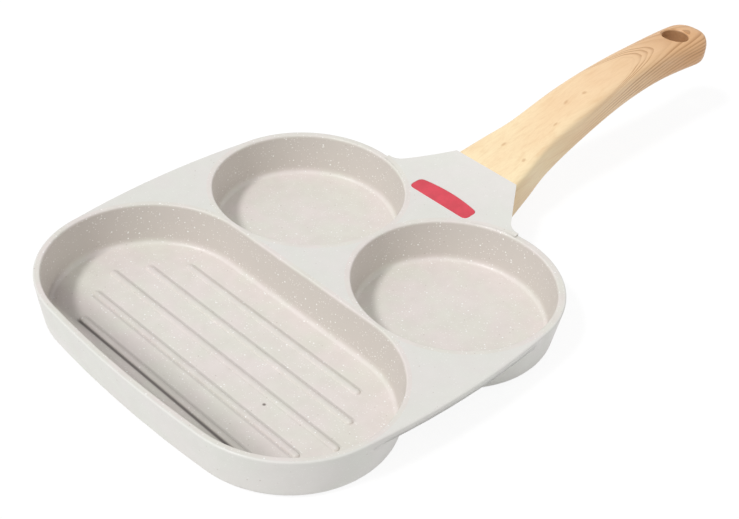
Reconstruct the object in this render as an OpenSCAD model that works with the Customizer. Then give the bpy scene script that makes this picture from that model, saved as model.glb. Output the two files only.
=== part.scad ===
// Divided frying pan: two round egg wells and one ribbed grill compartment cast in a single
// deck, with a moulded handle screwed onto the casting's tang.
// +X runs along the handle and +Z is up. The origin is under the middle of the whole pan,
// on the plane that its base stands on.

/* [Wells] */
// Radius of each round well at its mouth
well_r = 46; // [42:0.5:50]
// Land between the mouths of the two round wells
well_land = 1.5; // [1:0.1:4]
// Half width of the grill compartment's mouth, and the radius of its round ends
grill_half_w = 47.3; // [40:0.1:52]
// Length of the grill compartment's mouth
grill_len = 183.7; // [160:0.1:200]
// How far the grill compartment's outer side bows out
grill_bow = 2; // [1:0.1:4]
// Land between the grill compartment's mouth and the wells' mouths
grill_land = 0.8; // [0.6:0.1:4]
// Depth of the wells and the grill compartment
depth = 20.5; // [16:0.5:26]
// Draft of the walls inside, in degrees
inner_draft = 5.5; // [4:0.1:7]
// Radius between the walls and the floor, inside
floor_fillet = 2; // [1:0.1:4]

/* [Casting] */
// Thickness of the floors
floor_t = 2.5; // [2:0.1:4]
// Width of the rim around the wells
well_rim = 2.9; // [2.2:0.1:4]
// Width of the rim around the grill compartment
grill_rim = 2.4; // [2.2:0.1:4]
// Radius that rounds the rims' edges
rim_round = 0.8; // [0.4:0.1:1]
// Draft of the walls outside, in degrees
outer_draft = 9; // [7:0.1:10.5]
// Radius around the base, outside
base_round = 4.5; // [2:0.1:7]
// Thickness of the deck that joins the compartments
deck_t = 4; // [3:0.1:6]
// Radius of the bowed side between the grill compartment's end and a well
side_bow_r = 400; // [250:10:800]

/* [Grill ribs] */
// Number of ribs on the grill compartment's floor
rib_count = 5; // [3:2:5]
// Distance from rib to rib
rib_pitch = 14.5; // [10:0.5:16]
// Width of a rib at the floor
rib_w = 3.5; // [2:0.1:5]
// Height of a rib above the floor
rib_h = 1.2; // [0.6:0.1:2.5]
// Length of the middle rib
rib_len = 149; // [120:1:152]
// How much shorter the ribs beside the middle one are
rib_step = 14.6; // [4:0.1:20]

/* [Neck] */
// Distance from the line through the wells' centres to the handle's end face
joint_x = 72.2; // [66:0.1:84]
// Distance from that line to where the neck starts to rise
rise_x = 31; // [26:0.5:46]
// Angle at which the neck's sides run in towards the handle, in degrees
neck_taper = 36.5; // [32:0.5:48]
// Radius between the neck's sides and the wells' rims
neck_fillet = 8; // [2:0.5:12]
// Thickness of the neck's top
neck_top_t = 4; // [3:0.1:6]
// Thickness of the neck's side walls
neck_side_t = 3.5; // [2.5:0.1:6]
// Thickness of the wall that the handle sits against
neck_end_t = 6; // [5:0.5:9]
// Thickness of the web under the middle of the neck
neck_web_t = 3; // [2:0.5:5]

/* [Red inlay] */
// Distance from the line through the wells' centres to the inlay's straight edge
inlay_x = 38; // [38:0.1:41]
// Width of the inlay across its middle
inlay_w = 10.2; // [6:0.1:13]
// Length of the inlay
inlay_len = 36.2; // [20:0.1:40]
// Radius of the inlay's arched edge
inlay_arch_r = 82; // [60:1:200]
// Radius of the inlay's corners
inlay_corner = 2.6; // [0.5:0.1:4]
// Depth of the inlay
inlay_t = 1; // [0.6:0.1:1.6]
// Gap around the inlay in its pocket
inlay_gap = 0.1; // [0.05:0.05:0.3]

/* [Handle] */
// Distance from the handle's end face to its tip, along the ground
handle_reach = 169.8; // [140:0.1:200]
// Slope of the handle where it leaves the neck, in degrees
handle_slope = 15.7; // [10:0.1:22]
// Length of the handle's straight stretch
straight_len = 43.4; // [30:0.1:60]
// Radius of the arch of the handle's top beyond that
handle_arch_r = 335; // [260:1:500]
// Width of the handle at the neck
root_w = 38.4; // [34:0.1:44]
// Width of the handle halfway down its flare
flare_w = 33.8; // [28:0.1:40]
// Width of the handle at the end of its flare
grip_w = 27.8; // [24:0.1:34]
// Width of the handle at its middle
middle_w = 26; // [22:0.1:32]
// Width of the handle at its waist
waist_w = 22.2; // [20:0.1:28]
// Width of the handle's round end
end_w = 25; // [22:0.1:32]
// Depth of the handle at the neck
root_t = 22.3; // [19:0.1:25]
// Depth of the handle at its middle
grip_t = 17.6; // [14:0.1:22]
// Depth of the handle at its round end
end_t = 18.6; // [14:0.1:22]
// Radius of the hang hole
hang_r = 7; // [4:0.1:8]
// Distance from the hang hole's centre to the tip
hang_inset = 22.2; // [18:0.1:30]
// Bevel around the hang hole, measured down from the handle's crest
hang_bevel = 1.4; // [1:0.1:2]
// Bevel around the handle's end face
seam_bevel = 0.5; // [0.3:0.1:1]

/* [Handle fixing] */
// Length of the tang inside the handle
tang_len = 26; // [22:0.5:34]
// Width of the tang
tang_w = 22; // [16:0.5:26]
// Thickness of the tang
tang_t = 6.5; // [5:0.1:8]
// Gap around the tang in the handle's socket
tang_gap = 0.3; // [0.1:0.05:0.6]
// Distance from the handle's end face to the screw's axis
screw_inset = 15; // [12:0.5:18]
// Radius of the screw's thread
screw_r = 2.5; // [2:0.1:3]
// Radius of the screw's head
head_r = 4.6; // [4:0.1:5.5]
// Height of the screw's head
head_h = 2.5; // [2:0.1:3]
// Thickness of the handle between the tang and the lock washer
seat_t = 2.2; // [1.8:0.1:3]
// Thickness of the lock washer
washer_t = 1; // [0.6:0.1:1.4]
// Gap around the screw and its head in the handle
screw_gap = 0.4; // [0.2:0.1:0.8]

/* [Hidden] */

// Smoothness of the turned shapes
$fn = 96;

// Where the wells and the grill compartment lie, from the point between the wells on the deck's top
well_y = well_r + well_land / 2;
grill_x = -(well_r + grill_land + grill_half_w);
grill_straight = grill_len - 2 * grill_half_w;
base_z = -depth - floor_t;

// How far a shape runs past a face that it cuts, and a size larger than anything it is trimmed to
over = 1;
trim = 2 * grill_len;

// Steps in each rounded stretch of an outline
rim_steps = 4;
fillet_steps = 8;
rise_steps = 16;
arch_steps = 6;

// The neck's top rises on an arc that ends at the handle's slope
rise_r = (joint_x - rise_x) / sin(handle_slope);
joint_z = rise_r * (1 - cos(handle_slope));
neck_back_x = 8;
neck_bottom_z = base_z + 4;
neck_hollow_run = 36;
neck_web_rise = 3;

// The deck's bowed sides run a little inside the rims, so that they cross them cleanly
bow_inset = 0.15;
well_out_r = well_r + well_rim;
grill_out_r = grill_half_w + grill_rim;
deck_reach = 50;
land_w = 1.5 * well_y;

// The handle's arch starts where its straight stretch ends
bend_x = joint_x + straight_len * cos(handle_slope);
bend_z = joint_z + straight_len * sin(handle_slope);
arch_x = bend_x + handle_arch_r * sin(handle_slope);
arch_z = bend_z - handle_arch_r * cos(handle_slope);
tip_x = joint_x + handle_reach;
end_r = end_w / 2;
end_x = tip_x - end_r;
hang_x = tip_x - hang_inset;

// Distance from the wells' line for stations given as a share of the handle's length
function along_handle(stations) = [
    for (station = stations)
        [joint_x + station.x * (end_x - joint_x), station.y]
];

// Half width, depth and squareness of the handle's section at its stations
half_widths = along_handle([
    [0, root_w / 2],
    [0.09, flare_w / 2],
    [0.2, grip_w / 2],
    [0.4, middle_w / 2],
    [0.78, waist_w / 2],
    [1, end_w / 2],
]);
depths = along_handle([[0, root_t], [0.5, grip_t], [1, end_t]]);
squareness = along_handle([[0, 9], [0.5, 5], [1, 3]]);

// Rings of points along the handle, and points in each ring
body_rings = 30;
end_rings = 8;
ring_points = 32;
// How the ribs shorten away from the middle one
rib_curve = 1.3;

// How far the screw's end stays below the tang's top
tip_back = 0.5;

// The lock washer's split, in degrees, and its gap around the screw
washer_split = 12;
washer_gap = 0.2;

// Share of a right angle that the last ring stops at, and how blunt the end is
end_stop = 0.94;
end_blunt = 3.5;

// The origin lies under the middle of the whole pan
pan_x_min = grill_x - grill_out_r - grill_bow;
origin_x = (pan_x_min + tip_x) / 2;

// Points along an arc
function arc_points(centre, r, from, to, steps) = [
    for (i = [0 : steps])
        let (a = from + (to - from) * i / steps)
        centre + r * [cos(a), sin(a)]
];

// Half section of a compartment's outside, from the axis at the base round to the axis at the top
function outer_section(r_top) =
    let (
        lean = tan(outer_draft),
        base_c = r_top + (base_z + base_round) * lean - base_round / cos(outer_draft),
        rim_c = r_top - rim_round * lean - rim_round / cos(outer_draft)
    )
    concat(
        [[0, base_z]],
        arc_points([base_c, base_z + base_round], base_round, -90, -outer_draft, fillet_steps),
        arc_points([rim_c, -rim_round], rim_round, -outer_draft, 90, rim_steps),
        [[0, 0]]
    );

// Half section of a compartment's hollow, from the axis at the floor round to the axis over the mouth
function inner_section(r_mouth) =
    let (
        lean = tan(inner_draft),
        wall_r = r_mouth - rim_round * cos(inner_draft),
        wall_z = -rim_round + rim_round * sin(inner_draft),
        fillet_z = -depth + floor_fillet,
        fillet_c = wall_r + (fillet_z - wall_z) * lean - floor_fillet / cos(inner_draft)
    )
    concat(
        [[0, -depth]],
        arc_points([fillet_c, fillet_z], floor_fillet, -90, -inner_draft, fillet_steps),
        arc_points([r_mouth, -rim_round], rim_round, 180 - inner_draft, 90, rim_steps),
        [[r_mouth, over], [0, over]]
    );

// Half section of a rib, from the axis at its foot to the axis at its crest
function rib_section() =
    let (
        r = (pow(rib_w / 2, 2) + pow(rib_h, 2)) / (2 * rib_h),
        foot = asin((r - rib_h) / r)
    )
    concat(
        [[0, -over / 2], [rib_w / 2, -over / 2]],
        arc_points([0, rib_h - r], r, foot, 90, rim_steps)
    );

// A section run round a straight-sided loop with round ends
module racetrack(section, straight) {
    for (side = [1, -1])
        translate([0, side * straight / 2, 0])
            rotate_extrude(angle = 180, start = side > 0 ? 0 : 180)
                polygon(section);
    rotate([90, 0, 0])
        linear_extrude(straight, center = true)
            polygon(concat(section, [
                for (i = [len(section) - 1 : -1 : 0])
                    if (section[i].x > 0)
                        [-section[i].x, section[i].y]
            ]));
}

// A section run round a loop with round ends, whose far side is straight and whose near side bows out
module bowed_loop(section, straight, bow) {
    half = straight / 2;
    bow_r = (half * half + bow * bow) / (2 * bow);
    turn = asin(half / bow_r);
    for (side = [1, -1])
        translate([0, side * half, 0])
            rotate_extrude(angle = 180 - turn, start = side > 0 ? 0 : 180 + turn)
                polygon(section);
    rotate([90, 0, 0])
        linear_extrude(straight, center = true)
            polygon(section);
    translate([bow_r - bow, 0, 0])
        rotate_extrude(angle = 2 * turn, start = 180 - turn)
            polygon([
                for (point = section)
                    [point.x > 0 ? bow_r + point.x : bow_r - bow - over, point.y]
            ]);
}

// Both copies of a shape on either side of the middle
module both_sides() {
    children();
    mirror([0, 1, 0])
        children();
}

// The deck between a well and the grill compartment's end, with its bowed, rounded side
module side_web() {
    // The bow's centre is where it touches both rims from outside
    well_gap = side_bow_r - well_out_r;
    grill_gap = side_bow_r - grill_out_r;
    end_y = grill_straight / 2;
    span = norm([grill_x, end_y - well_y]);
    along = (well_gap * well_gap - grill_gap * grill_gap + span * span) / (2 * span);
    across = sqrt(well_gap * well_gap - along * along);
    dir = [grill_x, end_y - well_y] / span;
    centre = [0, well_y] + along * dir + across * [-dir.y, dir.x];
    from = atan2(well_y - centre.y, -centre.x);
    to = atan2(end_y - centre.y, grill_x - centre.x);
    edge_r = side_bow_r - bow_inset;
    lean = tan(outer_draft);
    rim_c = edge_r - rim_round * lean - rim_round / cos(outer_draft);
    translate(centre)
        rotate_extrude(angle = to - from, start = from)
            polygon(concat(
                [[edge_r - deck_reach, 0], [edge_r - deck_reach, -deck_t], [edge_r - deck_t * lean, -deck_t]],
                arc_points([rim_c, -rim_round], rim_round, -outer_draft, 90, rim_steps)
            ));
}

// Side view of the neck, with its top lowered and its underside at two heights
module neck_side(drop, back_bottom, end_bottom) {
    rotate([90, 0, 0])
        linear_extrude(trim, center = true)
            polygon(concat(
                [[neck_back_x, back_bottom], [neck_back_x, -drop]],
                arc_points([rise_x, rise_r - drop], rise_r, -90, -90 + handle_slope, rise_steps),
                [[joint_x, end_bottom]]
            ));
}

// A plan given by its points on one side of the middle, drawn on both sides and run up and down
module mirrored_plan(half) {
    linear_extrude(trim, center = true)
        polygon(concat(half, [
            for (i = [len(half) - 1 : -1 : 0])
                if (half[i].y > 0)
                    [half[i].x, -half[i].y]
        ]));
}

// The neck's sides run back from the corners at the handle, and are filleted into the wells' rims
function neck_edge(inset) =
    [joint_x, root_w / 2] - inset * [sin(neck_taper), cos(neck_taper)];

function neck_edge_point(inset, run) =
    neck_edge(inset) + run * [-cos(neck_taper), sin(neck_taper)];

function neck_fillet_centre() =
    let (
        q = neck_edge(-neck_fillet) - [0, well_y],
        dir = [-cos(neck_taper), sin(neck_taper)],
        r = well_out_r - 2 * bow_inset + neck_fillet,
        run = -q * dir - sqrt(pow(q * dir, 2) - q * q + r * r)
    )
    neck_edge_point(-neck_fillet, run);

// Plan of the neck
module neck_plan() {
    centre = neck_fillet_centre();
    to_well = [0, well_y] - centre;
    mirrored_plan(concat(
        [[neck_back_x, 0], [0, well_y] - 0.8 * to_well],
        arc_points(centre, neck_fillet, atan2(to_well.y, to_well.x), 270 - neck_taper, fillet_steps),
        [[joint_x, root_w / 2]]
    ));
}

// Plan of the hollow under the neck
module neck_hollow_plan() {
    run = (neck_end_t - neck_side_t * sin(neck_taper)) / cos(neck_taper);
    mirrored_plan([
        [neck_back_x, 0],
        neck_edge_point(neck_side_t, neck_hollow_run),
        neck_edge_point(neck_side_t, run)
    ]);
}

// The neck: walls on three sides under a top that rises to the handle, with a web down its middle
module neck() {
    difference() {
        intersection() {
            neck_side(0, neck_bottom_z, joint_z - root_t);
            neck_plan();
        }
        intersection() {
            neck_side(neck_top_t, -trim, -trim);
            neck_hollow_plan();
        }
    }
    intersection() {
        neck_side(neck_top_t - over, neck_bottom_z + neck_web_rise, joint_z - root_t + neck_web_rise);
        translate([neck_back_x, -neck_web_t / 2, -trim / 2])
            cube([joint_x - neck_back_x - over, neck_web_t, trim]);
    }
}

// Plan of the red inlay: a straight edge, an arched edge and round corners
function inlay_outline(inset) =
    let (
        c = inlay_corner - inset,
        x0 = inlay_x + inset + c,
        y0 = inlay_len / 2 - inset - c,
        arch_c = inlay_x + inlay_w - inlay_arch_r,
        r = inlay_arch_r - inset,
        turn = asin(y0 / (r - c)),
        x1 = arch_c + (r - c) * cos(turn),
        part = turn / arch_steps
    )
    concat(
        arc_points([x0, -y0], c, 180, 270, rim_steps),
        arc_points([x1, -y0], c, 270, 360 - turn, rim_steps),
        arc_points([arch_c, 0], r, -turn + part, turn - part, 2 * arch_steps - 2),
        arc_points([x1, y0], c, turn, 90, rim_steps),
        arc_points([x0, y0], c, 90, 180, rim_steps)
    );

// The red inlay's body, which follows the neck's top from a height above it down to the pocket's floor
module inlay_body(inset, rise) {
    difference() {
        intersection() {
            linear_extrude(trim, center = true)
                polygon(inlay_outline(inset));
            neck_side(-rise, -trim, -trim);
        }
        neck_side(inlay_t, -trim, -trim);
    }
}

// The line along the handle at its root: its origin is in the middle of the handle's end face
module at_root() {
    translate([joint_x, 0, joint_z - root_t / 2])
        rotate([0, -handle_slope, 0])
            children();
}

// The tang that the handle is pushed over, or with a gap round it the handle's socket
module tang(gap) {
    translate([-neck_end_t / 2, -tang_w / 2 - gap, -tang_t / 2 - gap])
        cube([neck_end_t / 2 + tang_len + gap, tang_w + 2 * gap, tang_t + 2 * gap]);
}

// The screw's axis, in the line of the handle: its origin is on the seat under the lock washer
module at_screw() {
    at_root()
        translate([screw_inset, 0, -tang_t / 2 - tang_gap - seat_t])
            children();
}

// Value at x on a smooth curve through a list of stations, each an [x, value] pair
function station_slope(list, i) =
    let (
        a = list[max(i - 1, 0)],
        b = list[min(i + 1, len(list) - 1)]
    )
    (b.y - a.y) / (b.x - a.x);

function smooth_value(list, x, i = 0) =
    i < len(list) - 2 && x > list[i + 1].x ? smooth_value(list, x, i + 1) :
    let (
        a = list[i],
        b = list[i + 1],
        w = b.x - a.x,
        t = (x - a.x) / w,
        u = 1 - t
    )
    a.y * (1 + 2 * t) * u * u + b.y * (1 + 2 * u) * t * t
        + w * t * u * (station_slope(list, i) * u - station_slope(list, i + 1) * t);

// Height of the handle's crest: a straight rise, then an arch
function crest(x) =
    x < bend_x
        ? joint_z + (x - joint_x) * tan(handle_slope)
        : arch_z + sqrt(pow(handle_arch_r, 2) - pow(x - arch_x, 2));

// Section of the handle at x, as a ring of points, with its width and depth scaled
function handle_ring(x, station, wide, deep) =
    let (
        half_w = smooth_value(half_widths, station) * wide,
        t = smooth_value(depths, station),
        square = smooth_value(squareness, station)
    )
    [
        for (i = [0 : ring_points - 1])
            let (
                c = cos(360 * i / ring_points),
                s = sin(360 * i / ring_points)
            )
            [
                x,
                half_w * sign(c) * pow(abs(c), 2 / square),
                crest(x) - t / 2 + deep * t / 2 * sign(s) * pow(abs(s), 2 / square)
            ]
    ];

// All the handle's rings: the bevel at its end face, its body and its round end
function handle_rings() = concat(
    [handle_ring(joint_x, joint_x, 1 - 2 * seam_bevel / root_w, 1 - 2 * seam_bevel / root_t)],
    [
        for (i = [0 : body_rings])
            let (x = joint_x + seam_bevel + (end_x - joint_x - seam_bevel) * i / body_rings)
            handle_ring(x, x, 1, 1)
    ],
    [
        for (i = [1 : end_rings])
            let (
                a = 90 * end_stop * i / end_rings,
                x = end_x + end_r * sin(a) / sin(90 * end_stop)
            )
            handle_ring(x, end_x, cos(a), pow(1 - pow(sin(a), end_blunt), 1 / end_blunt))
    ]
);

// A closed skin over a list of rings that all have the same number of points
module skin(rings) {
    n = len(rings[0]);
    last = len(rings) - 1;
    polyhedron(
        points = [for (ring = rings) each ring],
        faces = concat(
            [[for (i = [0 : n - 1]) i]],
            [[for (i = [n - 1 : -1 : 0]) last * n + i]],
            [
                for (k = [0 : last - 1], i = [0 : n - 1], half = [0, 1])
                    let (
                        a = k * n + i,
                        b = k * n + (i + 1) % n
                    )
                    half == 0 ? [a, a + n, b + n] : [a, b + n, b]
            ]
        )
    );
}

// A vertical hole with a bevel at both its ends
module hang_hole() {
    top = crest(hang_x);
    bottom = top - smooth_value(depths, hang_x);
    translate([hang_x, 0, bottom - over])
        cylinder(r = hang_r, h = top - bottom + 2 * over);
    translate([hang_x, 0, top - hang_bevel])
        cylinder(r1 = hang_r, r2 = hang_r + hang_bevel + over, h = hang_bevel + over);
    translate([hang_x, 0, bottom - over])
        cylinder(r1 = hang_r + hang_bevel + over, r2 = hang_r, h = hang_bevel + over);
}

// The five pieces, each in its place on the pan
module to_origin() {
    translate([-origin_x, 0, -base_z])
        children();
}

// The casting
module pan() {
    color("#e9e3dc")
        to_origin() {
            difference() {
                union() {
                    for (side = [-1, 1])
                        translate([0, side * well_y, 0])
                            rotate_extrude()
                                polygon(outer_section(well_out_r));
                    translate([grill_x, 0, 0])
                        bowed_loop(outer_section(grill_out_r), grill_straight, grill_bow);
                    both_sides()
                        side_web();
                    translate([grill_x + grill_half_w, -land_w / 2, -deck_t])
                        cube([neck_back_x + over - grill_x - grill_half_w, land_w, deck_t]);
                    neck();
                    at_root()
                        tang(0);
                }
                for (side = [-1, 1])
                    translate([0, side * well_y, 0])
                        rotate_extrude()
                            polygon(inner_section(well_r));
                translate([grill_x, 0, 0])
                    bowed_loop(inner_section(grill_half_w), grill_straight, grill_bow);
                inlay_body(0, over);
                at_screw()
                    cylinder(r = screw_r, h = root_t / 2);
            }
            for (i = [-(rib_count - 1) / 2 : (rib_count - 1) / 2])
                translate([grill_x + i * rib_pitch, 0, -depth])
                    racetrack(rib_section(), rib_len - rib_w - rib_step * pow(abs(i), rib_curve));
        }
}

// The plain red inlay in the neck's top
module red_inlay() {
    color("#e8405a")
        to_origin()
            inlay_body(inlay_gap, 0);
}

// The moulded grip
module handle() {
    color("#e8c48e")
        to_origin()
            difference() {
                skin(handle_rings());
                at_root()
                    tang(tang_gap);
                at_screw() {
                    cylinder(r = screw_r + screw_gap, h = seat_t + over);
                    mirror([0, 0, 1])
                        cylinder(r = head_r + screw_gap, h = root_t);
                }
                hang_hole();
            }
}

// The screw under the handle, with a cross recess in its rounded head
module handle_screw() {
    dome_drop = 0.9;
    dome_r = (pow(head_r, 2) + pow(dome_drop, 2)) / (2 * dome_drop);
    slot_w = 1.2;
    slot_depth = 1.4;
    slot_len = 4.8;
    color("silver")
        to_origin()
            at_screw()
                translate([0, 0, -washer_t])
                    difference() {
                        union() {
                            cylinder(r = screw_r, h = washer_t + seat_t + tang_gap + tang_t - tip_back);
                            rotate_extrude()
                                polygon(concat(
                                    [[0, 0]],
                                    arc_points(
                                        [0, dome_r - head_h], dome_r,
                                        -90, -acos(head_r / dome_r), rim_steps
                                    ),
                                    [[head_r, 0]]
                                ));
                        }
                        for (turn = [0, 90])
                            rotate([0, 0, turn])
                                translate([-slot_len / 2, -slot_w / 2, -head_h - over])
                                    cube([slot_len, slot_w, slot_depth + over]);
                    }
}

// The split spring washer between the screw's head and the handle
module lock_washer() {
    color("gray")
        to_origin()
            at_screw()
                translate([0, 0, -washer_t])
                    rotate_extrude(angle = 360 - washer_split, start = washer_split)
                        translate([screw_r + washer_gap, 0])
                            square([head_r - screw_r - 2 * washer_gap, washer_t]);
}

pan();
red_inlay();
handle();
handle_screw();
lock_washer();
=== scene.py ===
# Divided frying pan: the looks of each piece, in the order the pan is put together.
import math

import bmesh
import bpy
from mathutils import Matrix, Vector


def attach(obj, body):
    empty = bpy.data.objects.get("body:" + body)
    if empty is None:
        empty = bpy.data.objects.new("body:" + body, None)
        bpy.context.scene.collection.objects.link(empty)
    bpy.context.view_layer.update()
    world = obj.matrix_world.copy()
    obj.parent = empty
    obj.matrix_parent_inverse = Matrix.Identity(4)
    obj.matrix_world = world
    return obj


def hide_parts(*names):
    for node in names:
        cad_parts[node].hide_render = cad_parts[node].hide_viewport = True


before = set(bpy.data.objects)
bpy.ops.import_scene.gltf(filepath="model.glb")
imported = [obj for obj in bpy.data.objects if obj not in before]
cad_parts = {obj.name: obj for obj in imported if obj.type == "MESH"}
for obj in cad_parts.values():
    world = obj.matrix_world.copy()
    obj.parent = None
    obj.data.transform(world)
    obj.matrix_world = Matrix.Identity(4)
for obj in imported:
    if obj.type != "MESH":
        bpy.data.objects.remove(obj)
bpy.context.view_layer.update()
mm = 0.001

# The casting is one piece of aluminium, die cast with two round wells and a long grill compartment.
# It is sprayed inside and out with a warm off-white ceramic coating that carries fine pale flecks,
# and its base is then turned bare. The handle's neck and its tang are part of the casting.


def merged_copy(node, name, seams=()):
    """A copy of a node's shape, its seams closed, its doubles merged and its flat faces made whole."""
    slit = 0.002 * mm
    double = 0.004 * mm
    sliver = 0.002 * mm
    flat = math.radians(0.05)
    mesh = bpy.data.meshes.new(name)
    work = bmesh.new()
    work.from_mesh(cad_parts[node].data)
    for on_seam, across in seams:
        between = [
            face for face in work.faces
            if all(abs((v.co - on_seam).dot(across)) < slit for v in face.verts)
        ]
        bmesh.ops.delete(work, geom=between, context="FACES")
    bmesh.ops.remove_doubles(work, verts=work.verts, dist=double)
    bmesh.ops.dissolve_degenerate(work, edges=work.edges, dist=sliver)
    bmesh.ops.delete(work, geom=[edge for edge in work.edges if not edge.link_faces], context="EDGES")
    bmesh.ops.delete(work, geom=[v for v in work.verts if not v.link_edges], context="VERTS")
    bmesh.ops.dissolve_limit(work, angle_limit=flat, verts=work.verts, edges=work.edges)
    work.to_mesh(mesh)
    work.free()
    piece = bpy.data.objects.new(name, mesh)
    bpy.context.scene.collection.objects.link(piece)
    return piece


def soften(piece, width, steps, corner, smooth):
    """Rounds a piece's sharp edges a little and shades it smooth between them."""
    piece.data.shade_smooth()
    piece.data.set_sharp_from_angle(angle=math.radians(smooth))
    if width:
        bevel = piece.modifiers.new("rounded edges", "BEVEL")
        bevel.width = width
        bevel.segments = steps
        bevel.limit_method = "ANGLE"
        bevel.angle_limit = math.radians(corner)
        bevel.miter_outer = "MITER_ARC"
        bevel.use_clamp_overlap = True
        weld = piece.modifiers.new("joined doubles", "WELD")
        weld.merge_threshold = 0.001 * mm
    weigh = piece.modifiers.new("even shading", "WEIGHTED_NORMAL")
    weigh.keep_sharp = True


def new_node(tree, kind, **settings):
    """Adds a node to a tree, with its settings."""
    node = tree.nodes.new(kind)
    for setting, value in settings.items():
        setattr(node, setting, value)
    return node


def feed(tree, socket, value):
    """Joins a socket to another one, or gives it a plain value."""
    if isinstance(value, bpy.types.NodeSocket):
        tree.links.new(value, socket)
    else:
        socket.default_value = value


def number(tree, operation, *values, clamp=False):
    """One sum on numbers."""
    node = new_node(tree, "ShaderNodeMath", operation=operation, use_clamp=clamp)
    for socket, value in zip(node.inputs, values):
        feed(tree, socket, value)
    return node.outputs[0]


def vector(tree, operation, *values, output=0):
    """One sum on vectors."""
    node = new_node(tree, "ShaderNodeVectorMath", operation=operation)
    for socket, value in zip(node.inputs, values):
        feed(tree, socket, value)
    return node.outputs[output]


def ease(tree, value, low, high, start=0.0, end=1.0):
    """Runs smoothly from start to end as a value goes from low to high."""
    node = new_node(tree, "ShaderNodeMapRange", interpolation_type="SMOOTHSTEP")
    for socket, amount in zip(node.inputs, (value, low, high, start, end)):
        feed(tree, socket, amount)
    return node.outputs[0]


def band(tree, value, rise, fall, most=1.0):
    """Goes smoothly up over one stretch of a value, and down to 0 again over a later one."""
    risen = ease(tree, value, *rise)
    return number(tree, "MULTIPLY", risen, ease(tree, value, *fall, most, 0.0))


def split(tree, value):
    """The three parts of a vector."""
    node = new_node(tree, "ShaderNodeSeparateXYZ")
    feed(tree, node.inputs[0], value)
    return node.outputs


def mixed(tree, share, first, second, way="MIX"):
    """A share of one colour laid over another."""
    node = new_node(tree, "ShaderNodeMix", data_type="RGBA", blend_type=way)
    for socket, value in zip((node.inputs[0], node.inputs[6], node.inputs[7]), (share, first, second)):
        feed(tree, socket, value)
    return node.outputs[2]


def noise(tree, place, scale, detail=2.0, rough=0.5, output="Fac"):
    """Even noise, scale lumps to the metre."""
    node = new_node(tree, "ShaderNodeTexNoise", noise_dimensions="3D")
    feed(tree, node.inputs["Vector"], place)
    feed(tree, node.inputs["Scale"], scale)
    feed(tree, node.inputs["Detail"], detail)
    feed(tree, node.inputs["Roughness"], rough)
    return node.outputs[output]


def object_place(tree):
    """Where a point of the surface is on the object."""
    return new_node(tree, "ShaderNodeTexCoord").outputs["Object"]


def stretched(tree, place, scale, turn=(0.0, 0.0, 0.0), shift=(0.0, 0.0, 0.0)):
    """Places with each axis scaled, turned and shifted on its own."""
    node = new_node(tree, "ShaderNodeMapping")
    feed(tree, node.inputs["Vector"], place)
    node.inputs["Scale"].default_value = scale
    node.inputs["Rotation"].default_value = turn
    node.inputs["Location"].default_value = shift
    return node.outputs[0]


def colour(red, green, blue):
    """A colour given as it shows on a screen, from 0 to 255."""
    def linear(level):
        share = level / 255
        return share / 12.92 if share <= 0.04045 else ((share + 0.055) / 1.055) ** 2.4
    return (linear(red), linear(green), linear(blue), 1.0)


def effect(name, inputs, outputs):
    """An empty shader group with named inputs and outputs."""
    tree = bpy.data.node_groups.new(name, "ShaderNodeTree")
    for label, kind, value in inputs:
        socket = tree.interface.new_socket(name=label, in_out="INPUT", socket_type="NodeSocket" + kind)
        socket.default_value = value
    for label, kind in outputs:
        tree.interface.new_socket(name=label, in_out="OUTPUT", socket_type="NodeSocket" + kind)
    return tree, new_node(tree, "NodeGroupInput").outputs, new_node(tree, "NodeGroupOutput").inputs


def use(tree, group, **values):
    """Places a shader group in a material, with its own values."""
    node = new_node(tree, "ShaderNodeGroup", node_tree=group)
    for label, value in values.items():
        feed(tree, node.inputs[label.replace("_", " ")], value)
    return node.outputs


def new_finish(name):
    """A material with only its surface shader in it."""
    finish = bpy.data.materials.new(name)
    finish.use_nodes = True
    tree = finish.node_tree
    shader = next(n for n in tree.nodes if n.type == "BSDF_PRINCIPLED")
    return finish, tree, shader.inputs


def raised(tree, height, distance, strength=1.0):
    """A normal tilted by a height that changes over the surface."""
    node = new_node(tree, "ShaderNodeBump")
    node.inputs["Strength"].default_value = strength
    node.inputs["Distance"].default_value = distance
    feed(tree, node.inputs["Height"], height)
    return node.outputs[0]


# Flecks: round spots of uneven size, left out of some cells
flecks, given, result = effect(
    "Flecks",
    [
        ("Place", "Vector", (0, 0, 0)), ("Cells", "Float", 300.0),
        ("Size", "Float", 0.15), ("Share", "Float", 0.5),
    ],
    [("Mask", "Float")],
)
cells = new_node(flecks, "ShaderNodeTexVoronoi", feature="F1", voronoi_dimensions="3D")
feed(flecks, cells.inputs["Vector"], given["Place"])
feed(flecks, cells.inputs["Scale"], given["Cells"])
fleck_luck = split(flecks, cells.outputs["Color"])
fleck_size = number(flecks, "MULTIPLY", given["Size"], ease(flecks, fleck_luck[1], 0.0, 1.0, 0.45, 1.0))
fleck_far = number(flecks, "DIVIDE", cells.outputs["Distance"], fleck_size)
fleck_spot = ease(flecks, fleck_far, 0.7, 1.1, 1.0, 0.0)
fleck_kept = number(flecks, "LESS_THAN", fleck_luck[0], given["Share"])
feed(flecks, result["Mask"], number(flecks, "MULTIPLY", fleck_spot, fleck_kept))

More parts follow.
